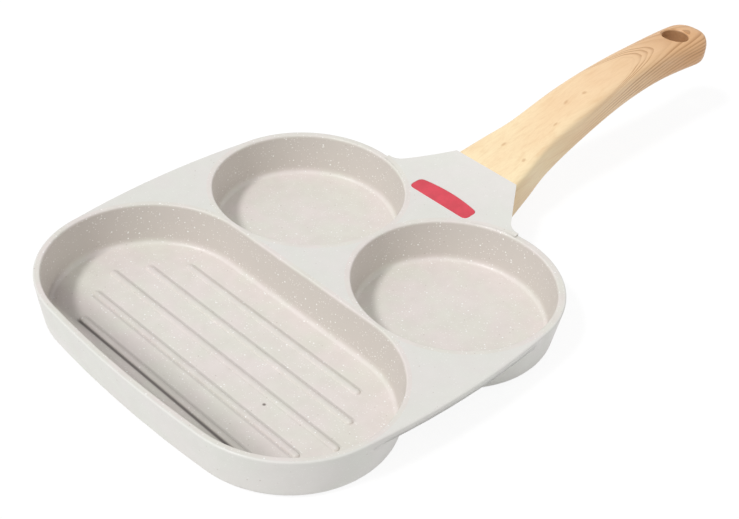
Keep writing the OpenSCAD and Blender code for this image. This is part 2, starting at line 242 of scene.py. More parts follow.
# Fine dents: the small unevenness of a sprayed or moulded surface, as a height and a mask
fine_dents, given, result = effect(
    "Fine dents",
    [("Place", "Vector", (0, 0, 0)), ("Per metre", "Float", 500.0), ("Coarseness", "Float", 0.5)],
    [("Height", "Float"), ("Mask", "Float")],
)
dent_fine = noise(fine_dents, given["Place"], given["Per metre"], 3.0, given["Coarseness"])
wide_scale = number(fine_dents, "MULTIPLY", given["Per metre"], 0.22)
dent_wide = noise(fine_dents, given["Place"], wide_scale, 2.0, 0.5)
feed(fine_dents, result["Height"], number(fine_dents, "MULTIPLY_ADD", dent_wide, 0.6, dent_fine))
feed(fine_dents, result["Mask"], ease(fine_dents, dent_wide, 0.35, 0.65))

# Soft spot: one small mark at a given place, wider one way than the other
soft_spot, given, result = effect(
    "Soft spot",
    [
        ("Place", "Vector", (0, 0, 0)), ("Centre", "Vector", (0, 0, 0)),
        ("Reach", "Vector", (0.002, 0.001, 0.01)),
    ],
    [("Mask", "Float")],
)
spot_off = vector(soft_spot, "SUBTRACT", given["Place"], given["Centre"])
spot_off = vector(soft_spot, "DIVIDE", spot_off, given["Reach"])
spot_far = vector(soft_spot, "LENGTH", spot_off, output=1)
feed(soft_spot, result["Mask"], ease(soft_spot, spot_far, 0.25, 1.0, 1.0, 0.0))

well_centre_x = -48.1 * mm
well_centre_y = 46.75 * mm
well_outside_r = 48.9 * mm
grill_centre_x = -142.2 * mm
grill_half_straight = 44.55 * mm
grill_outside_r = 49.7 * mm
grill_bow = 2.0 * mm
rim_z = 23 * mm
outer_draft = math.radians(9)

coating, tree, shader = new_finish("stone coating")
place = object_place(tree)

# How far out of the compartments' rims a point lies, with the grill's bowed side counted in
parts = split(tree, place)
ring_x, ring_y, ring_z = parts[0], parts[1], parts[2]
side_y = number(tree, "ABSOLUTE", ring_y)


def past_circle(tree, from_x, from_y, radius):
    """How far out of a circle a point lies, less than 0 inside it."""
    squares = number(tree, "ADD", number(tree, "POWER", from_x, 2.0), number(tree, "POWER", from_y, 2.0))
    return number(tree, "SUBTRACT", number(tree, "SQRT", squares), radius)


from_middle = number(tree, "SUBTRACT", ring_x, grill_centre_x)
past_straight = number(tree, "MAXIMUM", number(tree, "SUBTRACT", side_y, grill_half_straight), 0.0)
to_grill = past_circle(tree, from_middle, past_straight, grill_outside_r)
bow_share = number(tree, "POWER", number(tree, "DIVIDE", side_y, grill_half_straight, clamp=True), 2.0)
bow_now = number(tree, "MULTIPLY", number(tree, "SUBTRACT", 1.0, bow_share), grill_bow)
bow_now = number(tree, "MULTIPLY", bow_now, number(tree, "LESS_THAN", ring_x, grill_centre_x))
to_grill = number(tree, "SUBTRACT", to_grill, bow_now)
from_well_x = number(tree, "SUBTRACT", ring_x, well_centre_x)
from_well_y = number(tree, "SUBTRACT", side_y, well_centre_y)
to_well = past_circle(tree, from_well_x, from_well_y, well_outside_r)
nearest_edge = number(tree, "MINIMUM", to_grill, to_well)
below_rim = number(tree, "SUBTRACT", rim_z, ring_z)
from_shell = number(tree, "MULTIPLY_ADD", below_rim, math.tan(outer_draft), nearest_edge)
outside = ease(tree, from_shell, -1.3 * mm, -0.7 * mm)
# The steep walls inside, where the painted shade falls
wall_shade = band(tree, ring_z, (3.4 * mm, 6.5 * mm), (21.4 * mm, 22.6 * mm))
wall_shade = number(tree, "MULTIPLY", wall_shade, number(tree, "SUBTRACT", 1.0, outside))

tint = noise(tree, place, 55.0, 2.0, 0.5)
cloud = noise(tree, vector(tree, "ADD", place, (3.1, 1.7, 0.4)), 140.0, 3.0, 0.6)
coat_colour = mixed(tree, ease(tree, tint, 0.35, 0.65), colour(233, 225, 221), colour(229, 227, 218))
coat_colour = mixed(tree, ease(tree, cloud, 0.3, 0.8, 0.0, 0.35), coat_colour, colour(217, 210, 203))
coat_colour = mixed(tree, number(tree, "MULTIPLY", outside, 0.5), coat_colour, colour(228, 230, 226))

# Painted shade: the coat is drawn a little darker and browner on the steep walls inside
coat_colour = mixed(tree, number(tree, "MULTIPLY", wall_shade, 0.9), coat_colour, colour(213, 206, 199))
inside = number(tree, "MULTIPLY_ADD", outside, -0.7, 1.0)
pale_flecks = use(tree, flecks, Place=place, Cells=440.0, Size=0.19, Share=0.5)["Mask"]
pale_flecks = number(tree, "MULTIPLY", pale_flecks, inside)
fine_place = vector(tree, "ADD", place, (0.7, 0.2, 0.9))
fine_flecks = use(tree, flecks, Place=fine_place, Cells=850.0, Size=0.3, Share=0.6)["Mask"]
fine_flecks = number(tree, "MULTIPLY", fine_flecks, inside)
dull_place = vector(tree, "ADD", place, (0.3, 0.8, 0.1))
dull_flecks = use(tree, flecks, Place=dull_place, Cells=430.0, Size=0.16, Share=0.2)["Mask"]
coat_colour = mixed(tree, number(tree, "MULTIPLY", dull_flecks, 0.55), coat_colour, colour(188, 176, 168))
coat_colour = mixed(tree, number(tree, "MULTIPLY", fine_flecks, 0.7), coat_colour, colour(250, 247, 243))
coat_colour = mixed(tree, pale_flecks, coat_colour, colour(255, 254, 252))
speck = use(
    tree, soft_spot, Place=place, Centre=(-0.1471, -0.0358, 0.0025), Reach=(0.0011, 0.0011, 0.004),
)["Mask"]
coat_colour = mixed(tree, speck, coat_colour, colour(120, 110, 104))

# Painted shade: the grill's floor is darker beside its near wall, thin dark lines run at the ribs' feet,
# and the ribs' crests are dimmed
rib_pitch = 14.5 * mm
outer_rib_no = 2.0
middle_rib_half = 72.75 * mm
rib_shorter = 7.3 * mm
rib_curve = 1.3
rib_no = number(tree, "ROUND", number(tree, "DIVIDE", from_middle, rib_pitch))
rib_no = number(tree, "MAXIMUM", number(tree, "MINIMUM", rib_no, outer_rib_no), -outer_rib_no)
rib_off = number(tree, "MULTIPLY_ADD", rib_no, -rib_pitch, from_middle)
rib_half = number(tree, "POWER", number(tree, "ABSOLUTE", rib_no), rib_curve)
rib_half = number(tree, "MULTIPLY_ADD", rib_half, -rib_shorter, middle_rib_half)
on_rib = ease(tree, number(tree, "SUBTRACT", side_y, rib_half), -1 * mm, 2.5 * mm, 1.0, 0.0)
on_rib = number(tree, "MULTIPLY", on_rib, number(tree, "LESS_THAN", ring_z, 4.4 * mm))
# Painted shade in thin lines at the ribs' far and near feet, and on their crests to dim the highlight
far_foot_shade = band(tree, rib_off, (1.5 * mm, 2.1 * mm), (2.3 * mm, 3.0 * mm), 0.22)
near_foot_shade = band(tree, rib_off, (-3.1 * mm, -2.3 * mm), (-1.9 * mm, -1.1 * mm), 0.92)
near_foot_shade = number(tree, "MULTIPLY", near_foot_shade, ease(tree, rib_no, -outer_rib_no, -0.6, 1.0, 0.0))
dimmed_crest = ease(tree, number(tree, "ABSOLUTE", rib_off), 1.0 * mm, 1.9 * mm, 0.09, 0.0)
rib_shade_lines = number(tree, "MAXIMUM", number(tree, "MAXIMUM", far_foot_shade, near_foot_shade), dimmed_crest)
# Painted shade on the grill's floor beside the near wall, fading out towards the middle
near_wall_shade = ease(tree, from_middle, -29.5 * mm, -13 * mm, 0.42, 0.0)
near_wall_shade = number(tree, "MULTIPLY", near_wall_shade, ease(tree, from_middle, -34.5 * mm, -31.5 * mm, 0.1, 1.0))
near_wall_shade = number(tree, "MULTIPLY", near_wall_shade, ease(tree, ring_z, 4.0 * mm, 7.0 * mm, 1.0, 0.0))
near_wall_shade = number(tree, "MULTIPLY", near_wall_shade, number(tree, "SUBTRACT", 1.0, outside))
coat_colour = mixed(tree, near_wall_shade, coat_colour, colour(124, 116, 113))
# The ribs' painted shade lines and dimmed crests
coat_colour = mixed(tree, number(tree, "MULTIPLY", rib_shade_lines, on_rib), coat_colour, colour(84, 77, 74))
coat_dents = use(tree, fine_dents, Place=place, Per_metre=420.0, Coarseness=0.55)

# The turned base has rings that run in from the edge of each compartment's foot
turned_pitch = 0.9 * mm
turned_rings = number(tree, "SINE", number(tree, "MULTIPLY", nearest_edge, 2 * math.pi / turned_pitch))
bare = number(tree, "LESS_THAN", ring_z, 0.12 * mm)
bare_colour = mixed(tree, ease(tree, turned_rings, -1.0, 1.0), colour(196, 196, 198), colour(222, 222, 223))
scuffs = noise(tree, stretched(tree, place, (900.0, 60.0, 60.0), (0.0, 0.0, 0.6)), 1.0, 3.0, 0.6)
bare_colour = mixed(tree, ease(tree, scuffs, 0.55, 0.8, 0.0, 0.35), bare_colour, colour(150, 150, 153))
feed(tree, shader["Base Color"], mixed(tree, bare, coat_colour, bare_colour))
feed(tree, shader["Metallic"], bare)
coat_gloss = ease(tree, coat_dents["Mask"], 0.0, 1.0, 0.36, 0.46)
feed(tree, shader["Roughness"], number(tree, "ADD", coat_gloss, number(tree, "MULTIPLY", bare, -0.06)))
coat_height = number(tree, "MULTIPLY_ADD", pale_flecks, 0.35, coat_dents["Height"])
bare_height = number(tree, "MULTIPLY", turned_rings, 0.5)
both_heights = new_node(tree, "ShaderNodeMix", data_type="FLOAT")
feed(tree, both_heights.inputs[0], bare)
feed(tree, both_heights.inputs[2], coat_height)
feed(tree, both_heights.inputs[3], bare_height)
feed(tree, shader["Normal"], raised(tree, both_heights.outputs[0], 0.05 * mm, 0.6))

# The grill's bowed side meets its round end on a flat seam, where the copy has a hairline slit closed
bow_r = (grill_half_straight ** 2 + grill_bow ** 2) / (2 * grill_bow)
bow_turn = math.asin(grill_half_straight / bow_r)
on_bow_seam = Vector((grill_centre_x, -grill_half_straight, 0.0))
across_bow_seam = Vector((math.sin(bow_turn), -math.cos(bow_turn), 0.0))
casting = merged_copy("pan", "casting", seams=[(on_bow_seam, across_bow_seam)])
casting.data.materials.append(coating)
soften(casting, 0.35 * mm, 2, 30, 38)
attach(casting, "root")
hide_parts("pan")

# The red inlay is a plain enamelled plate, pressed into a shallow pocket in the neck's top.
# Its surface is smooth and glossy, a little uneven in colour, with small rounded edges.
enamel, tree, shader = new_finish("red enamel")
place = object_place(tree)
enamel_dents = use(tree, fine_dents, Place=place, Per_metre=260.0, Coarseness=0.4)
enamel_depth = noise(tree, place, 190.0, 2.0, 0.5)
enamel_colour = mixed(tree, ease(tree, enamel_depth, 0.3, 0.7), colour(212, 56, 74), colour(226, 62, 82))
enamel_fleck = use(tree, flecks, Place=place, Cells=900.0, Size=0.2, Share=0.12)["Mask"]
enamel_fleck = number(tree, "MULTIPLY", enamel_fleck, 0.35)
enamel_colour = mixed(tree, enamel_fleck, enamel_colour, colour(246, 120, 132))
feed(tree, shader["Base Color"], enamel_colour)
feed(tree, shader["Roughness"], ease(tree, enamel_dents["Mask"], 0.0, 1.0, 0.3, 0.4))
feed(tree, shader["Normal"], raised(tree, enamel_dents["Height"], 0.04 * mm, 0.4))
inlay = merged_copy("red_inlay", "inlay")
inlay.data.materials.append(enamel)
soften(inlay, 0.18 * mm, 2, 30, 45)
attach(inlay, "root")
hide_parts("red_inlay")

# The handle is one moulded grip of heat-proof plastic, pushed over the casting's tang.
# A satin wood-grain film is printed over all of it before the hang hole is drilled and bevelled.
# It narrows and thins from a squared root to a waist, and swells again to its round end.
joint_x = 24.1 * mm
joint_z = 28.68 * mm
slope = math.radians(15.7)
straight_len = 43.4 * mm
arch_r = 335 * mm
reach = 169.8 * mm
root_w = 38.4 * mm
root_t = 22.3 * mm
end_w = 25 * mm
seam_bevel = 0.5 * mm
widths = [
    (0.0, root_w), (0.09, 33.8 * mm), (0.2, 27.8 * mm), (0.4, 26 * mm), (0.78, 22.2 * mm), (1.0, end_w),
]
depths = [(0.0, root_t), (0.5, 17.6 * mm), (1.0, 18.6 * mm)]
squareness = [(0.0, 9.0), (0.5, 5.0), (1.0, 3.0)]
bend_x = joint_x + straight_len * math.cos(slope)
bend_z = joint_z + straight_len * math.sin(slope)
arch_x = bend_x + arch_r * math.sin(slope)
arch_z = bend_z - arch_r * math.cos(slope)
tip_x = joint_x + reach
end_x = tip_x - end_w / 2
hang_x = tip_x - 22.2 * mm
hang_r = 7 * mm
hang_bevel = 1.4 * mm


def along(stations, share):
    """Value at a share of the handle's length, on a smooth curve through its stations."""
    i = 0
    while i < len(stations) - 2 and share > stations[i + 1][0]:
        i += 1

    def rate(k):
        before = stations[max(k - 1, 0)]
        after = stations[min(k + 1, len(stations) - 1)]
        return (after[1] - before[1]) / (after[0] - before[0])

    (a, low), (b, high) = stations[i], stations[i + 1]
    t = (share - a) / (b - a)
    u = 1 - t
    straight = low * (1 + 2 * t) * u * u + high * (1 + 2 * u) * t * t
    return straight + (b - a) * t * u * (rate(i) * u - rate(i + 1) * t)


def crest(x):
    """Height of the handle's top along its middle: a straight rise, then an arch."""
    if x < bend_x:
        return joint_z + (x - joint_x) * math.tan(slope)
    return arch_z + math.sqrt(arch_r ** 2 - (x - arch_x) ** 2)


wood, tree, shader = new_finish("wood-grain film")
place = object_place(tree)
parts = split(tree, place)

# The print shows a board cut across its growth rings: nested arches that point to the tip
arch_aside = 2 * mm
arch_blunt = 4.5 * mm
arch_down_side = 8.0
wide_from = 0.150
wide_share = 0.34
first_ring = 2.7 * mm
ring_gap = 5.65 * mm
wander = noise(tree, stretched(tree, place, (16.0, 70.0, 70.0)), 1.0, 2.0, 0.5, "Color")
wander = vector(tree, "SUBTRACT", wander, (0.5, 0.5, 0.5))
wander = vector(tree, "MULTIPLY", wander, (24 * mm, 5 * mm, 5 * mm))
fibre_place = vector(tree, "ADD", place, wander)
fibre = split(tree, fibre_place)
crest_run = number(tree, "SUBTRACT", parts[0], arch_x)
crest_high = number(tree, "MULTIPLY", crest_run, crest_run)
crest_high = number(tree, "MULTIPLY_ADD", crest_high, -1.0, arch_r ** 2)
crest_high = number(tree, "ADD", number(tree, "SQRT", crest_high), arch_z)
under_crest = number(tree, "MAXIMUM", number(tree, "SUBTRACT", crest_high, parts[2]), 0.0)
from_arch_line = number(tree, "ADD", fibre[1], arch_aside)
arch_spread = number(tree, "MULTIPLY", from_arch_line, from_arch_line)
arch_spread = number(tree, "DIVIDE", arch_spread, arch_blunt)
arch_place = number(tree, "ADD", fibre[0], arch_spread)
arch_place = number(tree, "ADD", arch_place, number(tree, "MULTIPLY", under_crest, arch_down_side))
wide_part = number(tree, "MAXIMUM", number(tree, "SUBTRACT", arch_place, wide_from), 0.0)
narrow_part = number(tree, "MINIMUM", arch_place, wide_from)
ring_step = number(tree, "MULTIPLY_ADD", wide_part, wide_share, narrow_part)
ring_count = number(tree, "DIVIDE", number(tree, "ADD", ring_step, first_ring), ring_gap)
ring_count = number(tree, "FRACT", ring_count)
ring_line = ease(tree, ring_count, 0.3, 0.93)
ring_end = ease(tree, ring_count, 0.93, 1.0, 1.0, 0.0)
late_wood = number(tree, "MULTIPLY", ring_line, ring_end)
ring_patches = noise(tree, stretched(tree, place, (22.0, 160.0, 160.0)), 1.0, 2.0, 0.5)
ring_strength = ease(tree, ring_patches, 0.3, 0.6, 0.35, 1.0)
ring_strength = number(tree, "MULTIPLY", ring_strength, ease(tree, arch_place, 0.130, 0.139))
between_bands = band(tree, arch_place, (wide_from, 0.156), (0.172, 0.180))
between_bands = number(tree, "MULTIPLY_ADD", between_bands, -0.7, 1.0)
ring_strength = number(tree, "MULTIPLY", ring_strength, between_bands)
ring_strength = number(tree, "MULTIPLY", ring_strength, ease(tree, parts[0], 0.06, 0.125, 0.12, 1.0))
late_wood = number(tree, "MULTIPLY", late_wood, ring_strength)

fibres = noise(tree, stretched(tree, fibre_place, (22.0, 1500.0, 1500.0)), 1.0, 3.0, 0.6)
streaks = noise(tree, stretched(tree, fibre_place, (18.0, 420.0, 420.0)), 1.0, 2.0, 0.5)
patches = noise(tree, stretched(tree, place, (20.0, 60.0, 60.0)), 1.0, 2.0, 0.5)
wood_colour = mixed(tree, ease(tree, parts[0], joint_x, 0.11), colour(255, 234, 192), colour(250, 218, 176))
wood_colour = mixed(tree, ease(tree, parts[0], 0.1, 0.185), wood_colour, colour(222, 170, 118))
wood_colour = mixed(tree, ease(tree, patches, 0.4, 0.65, 0.0, 0.35), wood_colour, colour(243, 202, 158))
wood_colour = mixed(tree, ease(tree, streaks, 0.45, 0.8, 0.0, 0.3), wood_colour, colour(226, 180, 128))
wood_colour = mixed(tree, ease(tree, fibres, 0.35, 0.75, 0.0, 0.12), wood_colour, colour(208, 160, 108))
wood_colour = mixed(tree, number(tree, "MULTIPLY", late_wood, 0.72), wood_colour, colour(172, 118, 66))
for knot_x, knot_y, knot_reach in (
    (43.1, 4.0, 2.6), (39.7, -10.7, 2.2), (91.8, -2.8, 2.0), (81.8, -0.3, 2.4), (64.3, -7.2, 2.0),
):
    knot = use(
        tree, soft_spot, Place=fibre_place,
        Centre=(knot_x * mm, knot_y * mm, crest(knot_x * mm)), Reach=(knot_reach * mm, 1.1 * mm, 4 * mm),
    )["Mask"]
    wood_colour = mixed(tree, number(tree, "MULTIPLY", knot, 0.5), wood_colour, colour(196, 146, 92))

# The film stops at the drilled hole, whose wall shows the brown plastic
past_hole = past_circle(tree, number(tree, "SUBTRACT", parts[0], hang_x), parts[1], hang_r)
drilled = ease(tree, past_hole, 0.1 * mm, 0.5 * mm, 1.0, 0.0)
plastic_colour = mixed(tree, streaks, colour(198, 154, 112), colour(180, 136, 96))
feed(tree, shader["Base Color"], mixed(tree, drilled, wood_colour, plastic_colour))
film_dents = use(tree, fine_dents, Place=place, Per_metre=300.0, Coarseness=0.5)
feed(tree, shader["Roughness"], ease(tree, film_dents["Mask"], 0.0, 1.0, 0.4, 0.5))
grain_height = number(tree, "MULTIPLY_ADD", fibres, -0.6, film_dents["Height"])
grain_height = number(tree, "MULTIPLY_ADD", late_wood, -0.8, grain_height)
feed(tree, shader["Normal"], raised(tree, grain_height, 0.06 * mm, 0.5))

# The grip's tree: a grid wrapped into rings along the handle, cut by its hole, socket and screw hole
grip_tree = bpy.data.node_groups.new("Moulded grip", "GeometryNodeTree")
for label, value in (
    ("Neck end", joint_x), ("Neck height", joint_z), ("Slope", slope), ("Bend", bend_x),
    ("Arch middle", arch_x), ("Arch centre height", arch_z), ("Arch radius", arch_r),
    ("End centre", end_x), ("End radius", end_w / 2), ("Seam bevel", seam_bevel),
    ("Root width", root_w), ("Root depth", root_t), ("Hole place", hang_x),
    ("Hole radius", hang_r), ("Hole bevel", hang_bevel), ("Hole top", crest(hang_x)),
    ("Hole length", along(depths, (hang_x - joint_x) / (end_x - joint_x))),
):
    knob = grip_tree.interface.new_socket(name=label, in_out="INPUT", socket_type="NodeSocketFloat")
    knob.default_value = value
for label, value in (("Body rings", 88), ("End rings", 20), ("Points in a ring", 128)):
    knob = grip_tree.interface.new_socket(name=label, in_out="INPUT", socket_type="NodeSocketInt")
    knob.default_value = value
grip_tree.interface.new_socket(name="Finish", in_out="INPUT", socket_type="NodeSocketMaterial")
grip_tree.interface.new_socket(name="Grip", in_out="OUTPUT", socket_type="NodeSocketGeometry")
given = new_node(grip_tree, "NodeGroupInput").outputs
result = new_node(grip_tree, "NodeGroupOutput").inputs


def profile(tree, share, stations, highest):
    """A curve of values along the handle, as a node that is read at a share of its length."""
    node = new_node(tree, "ShaderNodeFloatCurve")
    points = node.mapping.curves[0].points
    count = 48
    points[0].location = (0.0, along(stations, 0.0) / highest)
    points[1].location = (1.0, along(stations, 1.0) / highest)
    for i in range(1, count):
        points.new(i / count, along(stations, i / count) / highest)
    for point in points:
        point.handle_type = "VECTOR"
    node.mapping.update()
    node.inputs["Factor"].default_value = 1.0
    feed(tree, node.inputs["Value"], share)
    return number(tree, "MULTIPLY", node.outputs[0], highest)


def blunt_power(tree, value, power):
    """A value raised to a power, with its sign kept and its rounding error taken off."""
    finest = 1e5
    value = number(tree, "ROUND", number(tree, "MULTIPLY", value, finest))
    value = number(tree, "DIVIDE", value, finest)
    size = number(tree, "POWER", number(tree, "ABSOLUTE", value), power)
    return number(tree, "MULTIPLY", number(tree, "SIGN", value), size)


def moved(tree, shape, *sums):
    """A shape with its points put where three sums say."""
    point = new_node(tree, "ShaderNodeCombineXYZ")
    for socket, value in zip(point.inputs, sums):
        feed(tree, socket, value)
    node = new_node(tree, "GeometryNodeSetPosition")
    feed(tree, node.inputs["Geometry"], shape)
    feed(tree, node.inputs["Position"], point.outputs[0])
    return node.outputs[0]


def cylinder(tree, corners, radius, depth):
    """A closed cylinder that cuts the grip."""
    node = new_node(tree, "GeometryNodeMeshCylinder", fill_type="NGON")
    node.inputs["Vertices"].default_value = corners
    feed(tree, node.inputs["Radius"], radius)
    feed(tree, node.inputs["Depth"], depth)
    return node


# Two rings more than the skin's own close its ends to a point in the middle
extra = number(grip_tree, "ADD", number(grip_tree, "ADD", given["Body rings"], given["End rings"]), 3.0)
sheet = new_node(grip_tree, "GeometryNodeMeshGrid")
sheet.inputs["Size X"].default_value = 1.0
sheet.inputs["Size Y"].default_value = 1.0
feed(grip_tree, sheet.inputs["Vertices X"], number(grip_tree, "ADD", extra, 1.0))
feed(grip_tree, sheet.inputs["Vertices Y"], number(grip_tree, "ADD", given["Points in a ring"], 1.0))
where = split(grip_tree, new_node(grip_tree, "GeometryNodeInputPosition").outputs[0])
ring = number(grip_tree, "MULTIPLY", number(grip_tree, "ADD", where[0], 0.5), extra)
ring = number(grip_tree, "ROUND", ring)
turn = number(grip_tree, "MULTIPLY", number(grip_tree, "ADD", where[1], 0.5), 2 * math.pi)
started = number(grip_tree, "SUBTRACT", ring, 1.0, clamp=True)
body_share = number(
    grip_tree, "DIVIDE", number(grip_tree, "SUBTRACT", ring, 2.0), given["Body rings"], clamp=True
)
end_share = number(
    grip_tree, "DIVIDE",
    number(grip_tree, "SUBTRACT", number(grip_tree, "SUBTRACT", ring, 2.0), given["Body rings"]),
    given["End rings"], clamp=True,
)
is_open = number(
    grip_tree, "MULTIPLY",
    number(grip_tree, "MINIMUM", ring, 1.0),
    number(grip_tree, "MINIMUM", number(grip_tree, "SUBTRACT", extra, ring), 1.0),
)
end_stop = math.radians(84.6)
end_blunt = 3.5
end_turn = number(grip_tree, "MULTIPLY", end_share, end_stop)
end_sine = number(grip_tree, "SINE", end_turn)
body_len = number(grip_tree, "SUBTRACT", given["End centre"], given["Neck end"])
past_bevel = number(grip_tree, "SUBTRACT", body_len, given["Seam bevel"])
in_body = number(
    grip_tree, "ADD",
    number(grip_tree, "MULTIPLY", started, given["Seam bevel"]),
    number(grip_tree, "MULTIPLY", body_share, past_bevel),
)
share = number(grip_tree, "DIVIDE", in_body, body_len)
end_reach = number(grip_tree, "DIVIDE", given["End radius"], math.sin(end_stop))
in_end = number(grip_tree, "MULTIPLY", end_sine, end_reach)
x = number(grip_tree, "ADD", given["Neck end"], number(grip_tree, "ADD", in_body, in_end))
straight_top = number(
    grip_tree, "ADD", given["Neck height"],
    number(
        grip_tree, "MULTIPLY", number(grip_tree, "SUBTRACT", x, given["Neck end"]),
        number(grip_tree, "TANGENT", given["Slope"]),
    ),
)
arch_run = number(grip_tree, "SUBTRACT", x, given["Arch middle"])
arch_top = number(
    grip_tree, "ADD", given["Arch centre height"],
    number(
        grip_tree, "SQRT",
        number(
            grip_tree, "SUBTRACT",
            number(grip_tree, "MULTIPLY", given["Arch radius"], given["Arch radius"]),
            number(grip_tree, "MULTIPLY", arch_run, arch_run),
        ),
    ),
)
bent = number(grip_tree, "GREATER_THAN", x, given["Bend"])
top = number(
    grip_tree, "ADD",
    number(grip_tree, "MULTIPLY", straight_top, number(grip_tree, "SUBTRACT", 1.0, bent)),
    number(grip_tree, "MULTIPLY", arch_top, bent),
)
not_started = number(grip_tree, "SUBTRACT", 1.0, started)
both_bevels = number(grip_tree, "MULTIPLY", given["Seam bevel"], 2.0)
cut_back = number(grip_tree, "MULTIPLY", not_started, both_bevels)
wide = number(grip_tree, "SUBTRACT", 1.0, number(grip_tree, "DIVIDE", cut_back, given["Root width"]))
wide = number(grip_tree, "MULTIPLY", wide, number(grip_tree, "COSINE", end_turn))
deep = number(grip_tree, "SUBTRACT", 1.0, number(grip_tree, "DIVIDE", cut_back, given["Root depth"]))
end_deep = number(
    grip_tree, "POWER",
    number(grip_tree, "SUBTRACT", 1.0, number(grip_tree, "POWER", end_sine, end_blunt)), 1 / end_blunt,
)
deep = number(grip_tree, "MULTIPLY", deep, end_deep)
half_width = number(
    grip_tree, "MULTIPLY", number(grip_tree, "MULTIPLY", profile(grip_tree, share, widths, root_w), 0.5),
    number(grip_tree, "MULTIPLY", wide, is_open),
)
depth = profile(grip_tree, share, depths, root_t)
half_depth = number(
    grip_tree, "MULTIPLY", number(grip_tree, "MULTIPLY", depth, 0.5),
    number(grip_tree, "MULTIPLY", deep, is_open),
)
squarest = squareness[0][1]
power = number(grip_tree, "DIVIDE", 2.0, profile(grip_tree, share, squareness, squarest))
across = blunt_power(grip_tree, number(grip_tree, "COSINE", turn), power)
upward = blunt_power(grip_tree, number(grip_tree, "SINE", turn), power)
y = number(grip_tree, "MULTIPLY", half_width, across)
z = number(
    grip_tree, "ADD",
    number(grip_tree, "SUBTRACT", top, number(grip_tree, "MULTIPLY", depth, 0.5)),
    number(grip_tree, "MULTIPLY", half_depth, upward),
)
closed = new_node(grip_tree, "GeometryNodeMergeByDistance")
feed(grip_tree, closed.inputs["Geometry"], moved(grip_tree, sheet.outputs["Mesh"], x, y, z))
closed.inputs["Distance"].default_value = 0.001 * mm

# The drill for the hang hole is a cylinder that widens at both its ends
drill = cylinder(grip_tree, 96, given["Hole radius"], 1.0)
drill.inputs["Side Segments"].default_value = 3
spot = split(grip_tree, new_node(grip_tree, "GeometryNodeInputPosition").outputs[0])
outer = number(grip_tree, "GREATER_THAN", number(grip_tree, "ABSOLUTE", spot[2]), 0.3)
past = 1 * mm
flare = number(grip_tree, "ADD", given["Hole bevel"], past)
flare = number(grip_tree, "DIVIDE", flare, given["Hole radius"])
flare = number(grip_tree, "MULTIPLY_ADD", outer, flare, 1.0)
half_hole = number(grip_tree, "MULTIPLY", given["Hole length"], 0.5)
level = number(
    grip_tree, "ADD",
    number(grip_tree, "MULTIPLY", outer, number(grip_tree, "ADD", half_hole, past)),
    number(
        grip_tree, "MULTIPLY", number(grip_tree, "SUBTRACT", 1.0, outer),
        number(grip_tree, "SUBTRACT", half_hole, given["Hole bevel"]),
    ),
)
hole_x = number(grip_tree, "ADD", given["Hole place"], number(grip_tree, "MULTIPLY", spot[0], flare))
hole_y = number(grip_tree, "MULTIPLY", spot[1], flare)
hole_z = number(
    grip_tree, "ADD", number(grip_tree, "SUBTRACT", given["Hole top"], half_hole),
    number(grip_tree, "MULTIPLY", number(grip_tree, "SIGN", spot[2]), level),
)
shaped_drill = moved(grip_tree, drill.outputs["Mesh"], hole_x, hole_y, hole_z)

# The socket for the tang, the screw's hole and the recess for its head lie square to the straight stretch
tang_len = 26 * mm
tang_w = 22 * mm
tang_t = 6.5 * mm
tang_gap = 0.3 * mm
past_root = 3 * mm
seat_t = 2.2 * mm
screw_inset = 15 * mm
screw_hole_r = 2.9 * mm
head_hole_r = 5.0 * mm
socket_box = new_node(grip_tree, "GeometryNodeMeshCube")
socket_box.inputs["Size"].default_value = (
    tang_len + past_root + tang_gap, tang_w + 2 * tang_gap, tang_t + 2 * tang_gap,
)
screw_hole = cylinder(grip_tree, 48, screw_hole_r, seat_t + 2 * mm)
head_hole = cylinder(grip_tree, 64, head_hole_r, root_t)
seat_z = -tang_t / 2 - tang_gap - seat_t
cutters = []
for shape, spot_at in (
    (socket_box, ((tang_len + tang_gap - past_root) / 2, 0.0, 0.0)),
    (screw_hole, (screw_inset, 0.0, seat_z + seat_t / 2)),
    (head_hole, (screw_inset, 0.0, seat_z - root_t / 2)),
):
    local = new_node(grip_tree, "GeometryNodeTransform")
    feed(grip_tree, local.inputs["Geometry"], shape.outputs["Mesh"])
    local.inputs["Translation"].default_value = spot_at
    tilted = new_node(grip_tree, "GeometryNodeTransform")
    feed(grip_tree, tilted.inputs["Geometry"], local.outputs[0])
    tilted.inputs["Rotation"].default_value = (0.0, -slope, 0.0)
    tilted.inputs["Translation"].default_value = (joint_x, 0.0, joint_z - root_t / 2)
    cutters.append(tilted.outputs[0])
cut = new_node(grip_tree, "GeometryNodeMeshBoolean", operation="DIFFERENCE", solver="EXACT")
feed(grip_tree, cut.inputs["Mesh 1"], closed.outputs[0])
for cutter in (*cutters, shaped_drill):
    grip_tree.links.new(cutter, cut.inputs["Mesh 2"])
cut.inputs["Self Intersection"].default_value = True
rounded = new_node(grip_tree, "GeometryNodeSetShadeSmooth", domain="FACE")
feed(grip_tree, rounded.inputs["Geometry"], cut.outputs["Mesh"])
crease_angle = 0.5
edge_angle = new_node(grip_tree, "GeometryNodeInputMeshEdgeAngle").outputs[0]
corner = number(grip_tree, "GREATER_THAN", edge_angle, crease_angle)
creased = new_node(grip_tree, "GeometryNodeSetShadeSmooth", domain="EDGE")
feed(grip_tree, creased.inputs["Geometry"], rounded.outputs[0])
feed(grip_tree, creased.inputs["Selection"], corner)
creased.inputs["Shade Smooth"].default_value = False
real = new_node(grip_tree, "GeometryNodeRealizeInstances")
feed(grip_tree, real.inputs[0], creased.outputs[0])
printed = new_node(grip_tree, "GeometryNodeSetMaterial")
feed(grip_tree, printed.inputs["Geometry"], real.outputs[0])
feed(grip_tree, printed.inputs["Material"], given["Finish"])
feed(grip_tree, result["Grip"], printed.outputs[0])


